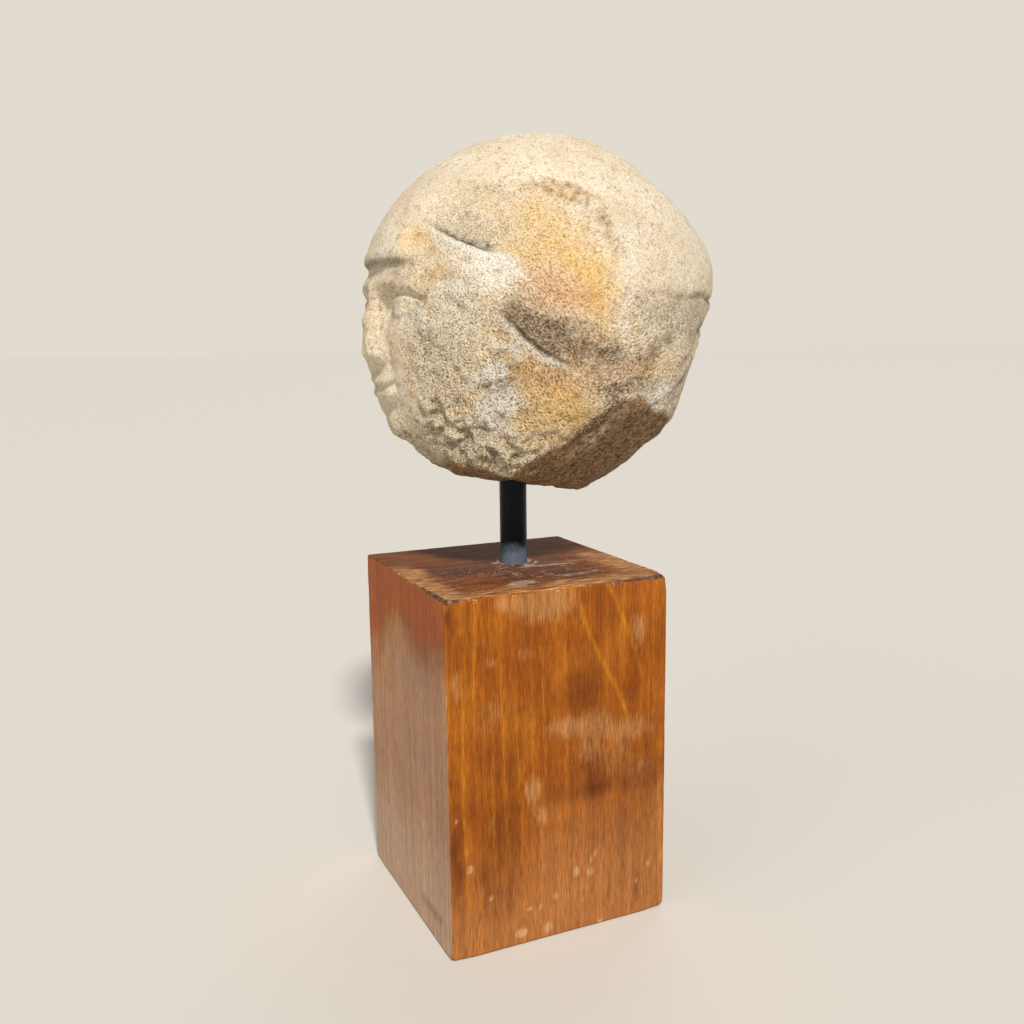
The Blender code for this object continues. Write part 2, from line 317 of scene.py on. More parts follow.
stone = {
    "height": 154,
    "axis": (-5, 4.5),  # where the rod's axis stands
    "boreDepth": 45,    # how far the rod reaches up into the stone
    "gap": 0.3,         # clearance round the rod
    "columns": 380,
    "rows": 248,
    "denseTurn": 55,    # azimuth where the columns crowd, on the side that shows
    "crowding": 0.5,
    # all that follows is in hundredths of the head's height, from its middle on the rod's axis
    "inset": 0.06,      # keeps the grain inside the solid
    "skullHalf": (43, 52.8, 50),
    "skullBack": 9.3,
    "napeSwell": 2.2,
    "jawSwell": 6.5,
    # flat breaks: azimuth and elevation that each faces, distance from the middle, softness of its edge
    "breaks": (
        (106, -45, 46.9, 0.8),
        (141.5, -51, 51.1, 1.5),
        (29, -77, 45.1, 2),
        (-95, -52, 45, 4),
        (146, -17.5, 51.9, 5),
        (155.5, 48.5, 54.2, 6),
        (0, -7, 40, 8),
    ),
    "rimMiddle": 9, "rimSlope": -0.143, "rimStep": 1.3, "rimCrack": 4.7,
    # a plain face: brow, nose base and chin a third of the face apart, the head about five eyes wide
    "faceThird": 19.5, "brow": 9, "eyeWidth": 15, "eyeSide": 15, "noseStump": 4,
    # ledges: place (y, z), slope in degrees, half length, drop, run-out, bend (0 sags in the middle, 90
    # sags in its first half and rises in the second), and the share worn off the far end
    "ledges": (
        (-21.3, 15.7, -38.5, 12.5, 1.9, 9, 90, 0.6),
        (-10.4, -7.7, -36.5, 11, 2.5, 15, 0, 0),
        (-27, 1.8, -34, 4, 0.7, 5, 0, 0),
        (-18, -17.8, 38, 4.5, 0.6, 4, 0, 0),
    ),
    # lower edge of the torn side (y, z); under it the stone broke smooth and is brown, with painted shade
    # for facing down
    "tornEdge": (
        (-28, -34.2), (-20.5, -38.6), (-13.5, -41), (-9, -36), (-5.5, -33.9), (-2, -32.6),
        (0.6, -29.7), (5.5, -25.2), (11, -21.6), (17, -19.6), (19, -19.8), (25, -24.2),
        (30, -25), (42, -29), (60, -34),
    ),
    # squarish round hollow on the left side: place, half sizes, how square, and depth
    "hollow": {"y": -14, "z": 4.3, "half": (24.7, 29.3), "square": 3.2, "depth": 1.6},
    # stains on the left side: each (y, z, half length, half height, slope in degrees, strength)
    "stains": {
        "ochre": (
            (-8, 26, 10, 9, 0, 0.45), (-3, 14, 10, 8, -30, 0.8), (5.5, 4, 6, 9, -5, 0.85),
            (-34, 21, 3, 3.5, 0, 0.6), (-32, 11, 4, 3.5, -30, 0.5), (-8, -19, 9, 8, 0, 1),
            (-3, -27, 8, 5, 10, 0.9), (-14.5, -16, 4, 6, 0, 1.1), (-19, -6, 4.5, 3, 0, 0.6),
            (23, -13, 6, 4, 20, 0.5), (-24, -24, 6, 5, 0, 0.5), (-5, -30.5, 8, 3.5, 8, 0.8),
            (-40, -9, 3, 4, 0, 0.4), (-15, 14.5, 5, 3, -35, 0.5), (-23, -27.5, 7, 3, -10, 0.4),
            (2, 30, 8, 2, -15, 0.4), (-32.5, -3.6, 2.5, 1.6, 0, 0.6),
        ),
        "rust": (
            (-9, 5.5, 9, 5.5, -10, 0.85), (0, 1.5, 8, 5, 0, 0.55), (-7, -12, 6, 4, -20, 0.6),
            (3, -15, 10, 4, 0, 0.6), (16, -12, 8, 4, 0, 0.7),
        ),
        "chalk": (
            (-20, 9.8, 5.5, 3.2, -38, 0.75), (-25, 16.5, 6, 2, -38, 0.7), (-24, 10.5, 7, 4, -30, 0.6),
            (-17.5, -8.5, 4.2, 1.8, -36, 0.9), (-18.3, -23, 3.8, 4.2, -40, 1.1), (-21, -16, 3.4, 3, 0, 1.1),
            (-33, -2, 5, 3, -20, 0.6), (-28, 5, 4, 3, -30, 0.5), (12.6, -4, 0.9, 7, 0, 0.6),
            (12.5, 11, 3, 10, -5, 0.5), (-30, 5.5, 4, 2, -30, 0.5), (-18, -28, 5, 4, -30, 0.4),
            # the bands at (-7.5, -29.8) and (-25, -27.5) are painted light, brightening where the surface
            # turns under
            (27, -21.2, 7.5, 4.2, 0, 1), (-22, -30, 6, 2, -30, 0.4), (-7.5, -29.8, 6.5, 3, 5, 0.6),
            (-25, -27.5, 7, 3, -8, 0.5),
        ),
        "ash": (
            (-33, -7, 4, 5, 0, 0.4), (-30, -13, 5, 4, 0, 0.35), (18, 1.5, 7, 3, 0, 0.5),
            (33, 0, 14, 6, -5, 1), (36, -14, 10, 8, 0, 0.3), (-22, 20.5, 6, 3, -30, 0.35),
        ),
        "soil": (
            (-13, -0.8, 7, 2.6, -36, 0.8), (-3, -5.8, 9, 3.2, -26, 0.9), (8.5, -7.5, 4.5, 3.4, -10, 1),
            (-4.5, -7.8, 7, 2.2, -36, 0.8), (20, -9, 7, 2.4, 25, 0.45), (-40, 10, 5, 7, 0, 0.3),
            (12, -19.3, 8, 3.2, 8, 0.75), (6, -18.5, 5.5, 4.5, 0, 0.5), (-19.5, -1.2, 5, 2.2, -30, 0.3),
            (-27.5, -20.3, 3.5, 2, -30, 0.4), (-20, -35, 9, 2.2, -15, 0.4), (-33.5, -24, 4, 2, -45, 0.4),
            (-5, 32.5, 8, 1.2, 0, 0.35), (4.5, 30, 5, 1.3, -38, 0.45), (9.5, 21, 1.4, 7, 8, 0.4),
        ),
        "grime": (
            (-22.8, 18.5, 3.6, 1, -30, 1.5), (-27.5, 20.7, 3.5, 0.7, -42, 0.6), (7, -25.8, 10, 1.7, 39, 1.3),
            (-4, -4, 6, 1.2, -32, 0.55), (4.5, -8, 4, 1.3, -15, 0.6), (9.5, -10.5, 2, 1.2, 20, 0.7),
            (-28.5, -20.5, 2.2, 1.6, 0, 0.6), (-34, -26, 4, 0.8, -42, 0.6), (-34.5, -5, 2, 1.4, -30, 0.6),
            (-9, 32.9, 2, 0.4, 10, 0.6), (-0.5, 32.4, 3, 0.4, -18, 0.6), (4.6, 29.2, 2.6, 0.4, -38, 0.6),
            (16, 4, 3, 1.2, -20, 0.5), (23, -5.5, 6, 1, 12, 0.4), (28, 3, 5, 0.8, 8, 0.4),
        ),
    },
    # colour and strength of what soaked in; the soil and grime lie over the underside's brown, which is
    # partly painted shade
    "stainColours": {
        "ash": ("#b5aa98", 0.7), "ochre": ("#f0c26c", 0.84), "rust": ("#d99d5e", 0.78),
        "chalk": ("#fdf9f0", 0.86), "soil": ("#7a5a3b", 0.85), "grime": ("#463619", 0.85),
    },
}
stone["eye"] = stone["brow"] - 0.33 * stone["faceThird"]
stone["nose"] = stone["brow"] - stone["faceThird"]
stone["mouth"] = stone["nose"] - stone["faceThird"] / 3
stone["chin"] = stone["brow"] - 2 * stone["faceThird"]


# Distance from the middle to an ellipsoid set back from it, swollen at jaw and nape, cut by breaks
def skullRadius(ways):
    half = np.array(stone["skullHalf"])
    middle = np.array([0.0, stone["skullBack"], 0.0])
    a = np.sum((ways / half) ** 2, axis=1)
    b = np.sum(ways * middle / half**2, axis=1)
    c = np.sum((middle / half) ** 2) - 1.0
    radius = (b + np.sqrt(b * b - a * c)) / a
    x, y, z = (ways * radius[:, None]).T
    left = ease(x, 0, 18)
    radius += left * stone["napeSwell"] * dab(y, z, 6, -25, 22, 9)
    radius += left * stone["jawSwell"] * dab(y, z, -15, -38, 15, 12)
    for azimuth, elevation, distance, blend in stone["breaks"]:
        lean = np.maximum(ways @ facing(azimuth, elevation), 0.2)
        radius = softMin(radius, distance / lean, blend)
    return radius


# The cap stands proud of the brow; the step dies away below it and is all but lost on the left
def capRim(x, y, z):
    above = z - stone["rimMiddle"] - stone["rimSlope"] * y
    kept = 1.0 - ease(x, 13, 21) * (1.0 - 0.12 * ease(y, 16, 24))
    below = ease(above, 0.6, -0.5)
    fade = ease(above, -13, -1)
    lip = 0.5 * ridge(above, 2.2, 1.8)
    return kept * (lip - stone["rimStep"] * below * fade)


# A hollow under the brow, a round eyeball in it, and two thin lids round an almond
def eyes(side, z):
    width, eyeSide, level = stone["eyeWidth"], stone["eyeSide"], stone["eye"]
    across = (side - eyeSide) / (0.5 * width)
    almond = np.maximum(1.0 - across**2, 0.0)
    upper = level + 2.3 * almond
    lower = level - 1.5 * almond
    window = ease(almond, 0, 0.35)
    depth = sumSpots(side, z, (
        (eyeSide - 0.5, level + 0.4, 0.62 * width, 4.4, -3.2),
        (0.45 * eyeSide, level + 0.6, 2.6, 3.6, -1.5),
        (eyeSide, level + 0.2, 0.42 * width, 2.9, 2.5)))
    lids = 0.55 * ridge(z, upper, 0.7) + 0.4 * ridge(z, lower, 0.6) - 0.45 * ridge(z - upper, 1.5, 0.6)
    return depth + window * lids


# A wedge that widens downward, its tip broken off, between two low wings
def nose(side, z, chips):
    brow, base = stone["brow"], stone["nose"]
    down = ease(-z, -brow + 1.5, -base - 1.5)
    height = softMin(1.2 + 5.8 * down, stone["noseStump"] + 0.7 * chips, 1.2)
    height *= ease(z, base - 1.4, base + 2.2) * ease(z, brow + 2.5, brow - 4)
    half = 2.3 + 2.3 * down
    wings = 1.7 * dab(side, z, 5, base + 2.2, 2, 2.1)
    fold = -0.6 * dab(side, z, 8.4, base, 1.8, 3.4)
    return height * np.exp(-np.abs(side / half) ** 2.6) + wings + fold


# Closed lips with a shallow groove above them, their corners a little raised
def lips(side, z):
    level = stone["mouth"]
    line = z - level - 0.6 * (side / 8.0) ** 2
    width = ease(side, 9, 5)
    depth = sumSpots(side, z, (
        (0, level, 10.5, 6.5, 2), (0, level + 4.6, 1.3, 1.7, -0.5), (8.6, level + 0.4, 1.4, 1.6, -0.6)))
    depth += width * (0.9 * ridge(line, 1.6, 1.3) + 1.1 * ridge(line, -2, 1.6))
    return depth - ease(side, 9.5, 6.5) * 0.9 * ridge(line, 0, 0.7)


# A calm, worn face of plain proportions: brow, eyes, broken nose, closed lips, cheeks and chin
def face(points):
    x, y, z = points.T
    side = np.abs(x)
    browLine = z - stone["brow"] + 0.010 * (side - 9.0) ** 2
    depth = 1.5 * ridge(browLine, 0, 2.2) * ease(side, 27, 18)
    depth += eyes(side, z) + nose(side, z, rough(points, 2.6, 21)) + lips(side, z)
    depth += sumSpots(side, z, (
        (15.5, stone["nose"] + 2.5, 8, 7, 1.4), (0, stone["mouth"] - 5.6, 6, 1.7, -0.8),
        (0, stone["chin"] + 2.5, 7.5, 4.2, 3.2), (18, stone["chin"] + 5, 9, 6, 1.2)))
    return ease(-y, 6, 22) * depth


# A low worn swelling on the right side, all that is left of the ear there
def earStump(x, y, z):
    return 1.3 * ease(-x, 10, 24) * ease(dab(y, z, 3, -1, 5, 9), 0.1, 0.7)


# A lip whose upper side falls away sharply and comes back slowly, fading at both ends; also gives the
# painted shade in the crevice above the lip and a painted highlight along the lip
def ledge(y, z, middleY, middleZ, slope, half, drop, runOut, bend, worn):
    along, across = alongSlope(y - middleY, z - middleZ, slope)
    across += 0.07 * half * np.cos(3.0 * along / half + radians(bend))
    ends = np.exp(-((along / half) ** 4))
    kept = 1.0 - worn * ease(along, -0.1 * half, 0.35 * half)
    lip = 0.25 * drop * ridge(across, -1.2, 1.5)
    fall = kept * drop * ease(across, -0.3, 0.9 + 2.0 * (1.0 - kept)) * ease(across, runOut, 0.9)
    wide = 0.2 + 0.6 * ease(-along, -half, half)
    shade = ease(across, -0.4, 0.2) * ease(across, wide + 0.9, wide)
    lipHighlight = ridge(across, -0.9, 0.8) * min(0.5 * drop, 1)
    return ends * (lip - fall), ends * kept**3 * shade, ends * lipHighlight


# How far in from the hollow's edge a point lies, in hundredths of the head's height
def hollowInside(y, z):
    hollow = stone["hollow"]
    halfY, halfZ = hollow["half"]
    square = hollow["square"]
    share = np.abs((y - hollow["y"]) / halfY) ** square + np.abs((z - hollow["z"]) / halfZ) ** square
    return 0.5 * (halfY + halfZ) * (1.0 - share ** (1.0 / square))


# The broken left side: a round hollow behind a low scarp, with sharp ledges before it; also gives painted
# shade along the scarp's foot, in the ledges' crevices and in the nape's troughs, and the ledges' painted
# lip highlights
def leftBreak(points):
    x, y, z = points.T
    wander = 1.4 * rough(points, 9, 3) + 0.5 * rough(points, 3.5, 4)
    inside = hollowInside(y, z) + wander
    scarp = ease(inside, -0.4, 1.6) * (1.0 - 0.8 * ease(inside, 2, 17))
    upper = 0.45 * ease(z + 0.5 * y, -12, 4) + 0.55 * ease(z - 0.9 * y, 0, 16)
    depth = -stone["hollow"]["depth"] * scarp * upper
    # painted shade along the foot of the scarp inside the hollow, broken into specks
    dark = 0.5 * upper * ease(y, -24, -6) * ridge(inside, 0.7, 0.5)
    dark *= ease(0.4 * rough(points, 5, 5) + 0.7 * rough(points, 1.1, 7), -0.2, 0.4)
    lipHighlight = 0.0
    for sizes in stone["ledges"]:
        step, shade, lip = ledge(y, z + 0.3 * wander, *sizes)
        depth += step
        dark += 0.6 * min(sizes[4], 1.8) * shade
        lipHighlight += lip
    # worn bedding runs round the nape in low waves, with painted shade in their troughs
    nape = ease(y, 15, 24) * np.exp(-(((z + 5) / 9) ** 4))
    waves = streaks(points, 9, 3.6, 6)
    depth = depth - nape * 0.7 * ease(waves, -0.1, 0.7)
    dark += 0.6 * nape * ease(waves, 0.25, 0.7)
    side = ease(x, 10, 22)
    return side * depth, side * dark, side * lipHighlight


# A thin crack along the cap's rim at the back of the left side, and the painted shade in it
def backCrack(x, y, z):
    line = z - stone["rimCrack"] - 0.5 * np.sin(0.35 * y)
    reach = ease(y, 17, 24) * ease(x, 2, 14)
    shade = ridge(line, 0, 0.9) * reach * ease(y, 26, 42)
    return -0.8 * ridge(line, 0, 0.7) * reach, shade


# Lumps and pits, deeper where the stone is broken and least on the cap
def weathering(points, broken):
    lumps = 0.45 * rough(points, 12, 11) + 0.35 * rough(points, 6, 12)
    pits = -np.maximum(rough(points, 3.4, 13) - 0.15, 0)
    return lumps * (0.2 + 0.8 * broken) + 0.8 * pits * broken


# Lumps drawn out to more than twice their height along a slope, in degrees, on the left side
def streaks(points, slope, size, seed):
    along, across = alongSlope(points[:, 1], points[:, 2], slope)
    return rough(np.stack([points[:, 0], 0.42 * along, across], -1), size, seed)


# Torn grain where the stone is broken, crumbs above the neck break, and only a faint tooth on the cap; also
# the low places between grains, which get painted shade
def grain(points, tooth, crumbly):
    front = ease(points[:, 1], 14, -8)
    torn = front * streaks(points, -38, 2.5, 31) + (1.0 - front) * streaks(points, 28, 2.5, 32)
    crests = 0.45 - np.abs(rough(points, 4.4, 52) + 0.3 * rough(points, 2, 53))
    torn = 0.5 * torn + 0.24 * rough(points, 1.7, 33) + 0.6 * rough(points, 5.2, 39) + 0.8 * crests
    fine = rough(points, 1.1, 34)
    crumbs = ease(rough(points, 2.7, 35), -0.35, 0.3) + 0.7 * ease(rough(points, 1.4, 36), -0.3, 0.3)
    depth = tooth * (torn + 0.2 * fine - 0.6) + 0.04 * fine + crumbly * 1.5 * (crumbs - 1.4)
    low = tooth * ease(-torn - 0.2 * fine, 0.1, 0.5) + crumbly * ease(1.0 - crumbs, -0.1, 0.8)
    return depth, clamp(low)


# Where stains lie: the spots on the left with ragged edges, and broad clouds where nothing shows
def stains(points):
    x, y, z = points.T
    left = ease(x, 2, 14)
    drift = drifting(points, (2.2, 7, 41), (1.3, 2.6, 43))
    found = {}
    for index, (key, spots) in enumerate(stone["stains"].items()):
        total = 0.0
        offY, offZ = (0.35 if key == "grime" else 1.0) * drift
        for middleY, middleZ, half, tall, slope, strength in spots:
            along, across = alongSlope(y + offY - middleY, z + offZ - middleZ, slope)
            total += strength * dab(along, across, 0, 0, half, tall)
        clouds = ease(rough(points, 15, 50 + index), 0.2, 0.8)
        elsewhere = 0.3 * clouds * (1.0 - 0.6 * ease(z, 5, 20))
        found[key] = clamp(left * total + (1.0 - left) * elsewhere)
    return found


# Directions of the grid: columns crowd towards the side that shows, rows go from the bore's mouth up
def headWays(lowest):
    share = np.arange(stone["columns"]) / stone["columns"] * 2.0 * math.pi
    dense = radians(stone["denseTurn"])
    turn = share - stone["crowding"] * np.sin(share - dense)
    lift = np.radians(np.linspace(lowest, 89.4, stone["rows"]))[:, None]
    x = np.cos(lift) * np.sin(turn)
    y = -np.cos(lift) * np.cos(turn)
    z = np.sin(lift) * np.ones_like(turn)
    return np.stack([x, y, z], -1), turn


# The head's form along each direction, as the solid has it, with the painted shade of its steps and crack
# and the painted highlight on the ledges' lips
def headForm(ways):
    base = ways * skullRadius(ways)[:, None]
    x, y, z = base.T
    low = ease(z + 0.1 * y, -27, -37)
    left = ease(x, 12, 26) * ease(hollowInside(y, z), -2, 8)
    broken = clamp(low + 0.35 * left)
    stepDepth, stepShade, stepHighlight = leftBreak(base)
    crackDepth, crackShade = backCrack(x, y, z)
    depth = capRim(x, y, z) + face(base) + earStump(x, y, z)
    depth += stepDepth + crackDepth + weathering(base, broken)
    return base, depth, low, stepShade, stepHighlight, crackShade


# The form with its grain, and what the sandstone's colour follows, in hundredths of the head's height
def headSurface(ways):
    base, depth, low, stepShade, stepHighlight, crackShade = headForm(ways)
    x, y, z = base.T
    ragged = 2.5 * rough(base, 6, 37) + 1.2 * rough(base, 2.4, 38)
    left = ease(x + ragged, 10, 22)
    rimAbove = z - stone["rimMiddle"] - stone["rimSlope"] * y
    below = ease(rimAbove + 0.5 * ragged, 2, -1.5)
    # smooth on the cap, grainy in the hollow, rougher and rougher downward on the broken side
    downward = ease(-z - 0.25 * y + ragged, -14, 20)
    inHollow = ease(hollowInside(y, z) + ragged, -1, 3)
    tooth = left * np.maximum(0.48 * inHollow, 0.35 * below + 0.65 * downward)
    hiddenEdge = -35.0 + 6.0 * rough(base, 17, 45) + ragged
    tornTop = left * np.interp(y, *zip(*stone["tornEdge"])) + (1.0 - left) * hiddenEdge
    under = ease(z - tornTop + 0.35 * ragged, 0.4, -1.2 - 5.0 * (1.0 - left))
    marks = stains(base)
    # the soil-brown stone and the nape are torn too
    nape = ease(y + ragged, 14, 20) * np.exp(-(((z + 8) / 13) ** 4))
    tooth = np.maximum(tooth, left * np.maximum(0.8 * marks["soil"], 0.65 * nape))
    tooth = np.clip(np.maximum(tooth, 0.25 * below) + low, 0.12, 1) * (1.0 - 0.45 * under)
    along = 0.83 * (y + 24.0) - 0.55 * (z + 31.5)
    across = 0.55 * (y + 24.0) + 0.83 * (z + 31.5)
    crumbly = left * np.exp(-((along / 19.0) ** 4) - ((across + 0.4 * ragged) / 5.0) ** 2) + 0.15 * low
    crumbly *= 1.0 - under
    grainDepth, holes = grain(base, tooth, clamp(crumbly))
    # the ledges' lips get a painted highlight in the chalk layer
    marks["chalk"] = clamp(marks["chalk"] + stepHighlight, 1.1)
    spotty = ease(rough(base, 1.3, 48) + 0.4 * rough(base, 3.5, 49), -0.4, 0.2)
    marks["grime"] *= 0.45 + 0.55 * spotty
    # painted shade in the groove under the cap's rim, at the front
    rimShade = ridge(rimAbove, 0, 0.8) * ease(x, 21, 13)
    marks["crevice"] = clamp(0.9 * stepShade + 0.5 * crackShade + 0.6 * rimShade)
    # painted shade between the grains, less where the stone is chalky or ochre
    marks["holes"] = holes * (1.0 - 0.5 * clamp(marks["chalk"] + marks["ochre"]))
    marks["tooth"] = tooth
    # the young breaks that face down are brown, partly as they were never washed and partly painted shade
    # for facing down, with pale crumbs near the edge
    paleCrumbs = dab(0.7 * (y + z), 0.7 * (z - y), -16.6, -27.1, 6, 2.6)
    paleCrumbs *= ease(rough(base, 0.9, 46) + 0.6 * rough(base, 2.4, 47), -0.1, 0.4)
    marks["under"] = under * (1.0 - 0.85 * paleCrumbs)
    return base + ways * (depth + grainDepth - stone["inset"])[:, None], marks


# Sandstone, quarried, carved and long weathered: dry and grainy, so it scatters light and never shines
def makeSandstone():
    material, tree, shader = newMaterial("weathered iron-stained sandstone")
    place = addNode(tree, "TexCoord").outputs["Object"]
    mark = readMarks(tree, *stone["stainColours"], "crevice", "holes", "tooth", "under")
    # sand grains are about 0.4 mm across, drawn a little longer, and lie sloping one way before the
    # middle of the side and the other way behind it
    lies = []
    for slope in (-35.0, 26.0):
        space = {"Vector": place, "Rotation": (radians(slope), 0, 0), "Scale": (1, 3, 1)}
        turned = addNode(tree, "Mapping", space, {"vector_type": "TEXTURE"})
        lies.append(addNoise(tree, turned.outputs[0], 2300, 2, 0.6))
    placeY = addNode(tree, "SeparateXYZ", {0: place}).outputs["Y"]
    behind = remap(tree, placeY, -0.01, 0.025)
    grains = addNode(tree, "Mix", {0: behind, 2: lies[0], 3: lies[1]}).outputs[0]
    clumps = addNoise(tree, place, 420, 4, 0.65)
    clouds = addNoise(tree, place, 60, 5, 0.6)
    worn = rampColour(tree, clouds, (0.3, "#d9caaf"), (0.5, "#e6dac3"), (0.68, "#eee6d6"))
    torn = rampColour(tree, clumps, (0.3, "#ead5ac"), (0.5, "#faeac8"), (0.7, "#fef7e6"))
    # the torn stone is mottled: iron-yellow and ash-grey patches 3 to 8 mm across
    mottle = addNoise(tree, place, 170, 4, 0.62)
    torn = mixColours(tree, remap(tree, mottle, 0.51, 0.64, 0, 0.75), torn, "#e3bc76")
    torn = mixColours(tree, remap(tree, mottle, 0.46, 0.32, 0, 0.5), torn, "#c4baa8")
    colour = mixColours(tree, mark["tooth"], worn, torn)
    # a stain soaks in clump by clump, which breaks up its edge; soil and grime lie over the brown of the
    # downward break, partly painted shade
    edge = calculate(tree, "MULTIPLY_ADD", clumps, 1.5, -0.75)
    brownAndShadedBreak = rampColour(tree, clumps, (0.38, "#523414"), (0.5, "#80592b"), (0.62, "#b38c57"))
    for key, (other, strength) in stone["stainColours"].items():
        if key == "soil":
            colour = mixColours(tree, times(tree, mark["under"], 0.95), colour, brownAndShadedBreak)
        amount = remap(tree, calculate(tree, "ADD", mark[key], edge), 0.05, 0.95, 0, strength)
        colour = mixColours(tree, amount, colour, other)
    # dark iron grains and pale quartz: weak on the worn cap, strong where the stone is torn
    harsh = remap(tree, grains, 0.49, 0.38)
    mild = remap(tree, grains, 0.56, 0.38, 0, 0.28)
    bare = calculate(tree, "POWER", mark["tooth"], 0.65)
    dark = addNode(tree, "Mix", {0: bare, 2: mild, 3: harsh}).outputs[0]
    colour = mixColours(tree, dark, colour, "#9a7c50", "MULTIPLY")
    lumpy = times(tree, remap(tree, clumps, 0.46, 0.34, 0, 0.5), mark["tooth"])
    colour = mixColours(tree, lumpy, colour, "#bfa071", "MULTIPLY")
    bright = times(tree, remap(tree, grains, 0.5, 0.6, 0, 0.8), mark["tooth"])
    dull = times(tree, calculate(tree, "MAXIMUM", mark["under"], mark["ochre"]), 0.7)
    dull = calculate(tree, "MAXIMUM", dull, times(tree, mark["soil"], 0.45))
    bright = times(tree, bright, remap(tree, dull, 0, 1, 1, 0.2))
    colour = mixColours(tree, bright, colour, "#fff8e6")
    # painted shade in the low places between grains and in the crevices of the ledges, the cap's rim and the
    # back crack, deeper between some grains than others
    patchy = remap(tree, clumps, 0.36, 0.56, 0.35, 1)
    deep = remap(tree, clumps, 0.36, 0.56, 0.7, 1)
    colour = mixColours(tree, times(tree, times(tree, mark["holes"], 0.5), patchy), colour, "#7a5a2a")
    colour = mixColours(tree, times(tree, mark["crevice"], deep), colour, "#33280f")
    bump = addNode(tree, "Bump", {
        "Strength": remap(tree, mark["tooth"], 0, 1, 0.3, 1), "Distance": 0.0017,
        "Height": calculate(tree, "MULTIPLY_ADD", clumps, 1.3, grains)})
    setInputs(tree, shader, {
        "Base Color": colour, "Roughness": 0.92, "IOR": 1.5, "Specular IOR Level": 0.25,
        "Normal": bump.outputs["Normal"]})
    return material


# Rings up from the bore's end, down its wall, out over the underside and up to the crown
def makeHead():
    unit = stone["height"] / 100.0
    rodLow, rodHigh = (np.array(corner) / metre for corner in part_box("mounting_rod"))
    boreRadius = 0.5 * (rodHigh[0] - rodLow[0]) + stone["gap"]
    boreEnd = rodHigh[2] + stone["gap"]
    # the rod's top stands boreDepth above the point where its axis leaves the stone
    straightDown = np.array([[0.0, 0.0, -1.0]])
    base, depth = headForm(straightDown)[:2]
    underside = -(base + straightDown * depth[:, None])[0, 2] * unit
    middle = np.array([*stone["axis"], rodHigh[2] - stone["boreDepth"] + underside])
    lowest = math.degrees(math.asin(boreRadius / underside)) - 90.0
    ways, turn = headWays(lowest)
    surface, marks = headSurface(ways.reshape(-1, 3))
    crown = headSurface(np.array([[0.0, 0.0, 1.0]]))[0][0] * unit + middle
    rings = surface.reshape(ways.shape) * unit + middle
    around = np.stack([np.sin(turn), -np.cos(turn)], -1)
    rings[0, :, :2] = middle[:2] + boreRadius * around
    wall = np.repeat(rings[:1], 5, axis=0)
    wall[:, :, 2] = boreEnd + (wall[:, :, 2] - boreEnd) * np.array([[0.0], [0.25], [0.5], [0.75], [0.95]])
    allRings = np.concatenate([wall, rings])
    wallMarks = np.zeros((len(wall), stone["columns"]))
    layers = {key: np.vstack([wallMarks, value.reshape(ways.shape[:2])]) for key, value in marks.items()}
    first = np.array([*middle[:2], boreEnd])
    head = ringMesh("carvedHead", allRings, first, crown, layers, makeSandstone())
    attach(head, "root")
    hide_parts("stone_head")


makeHead()

print("wood block")

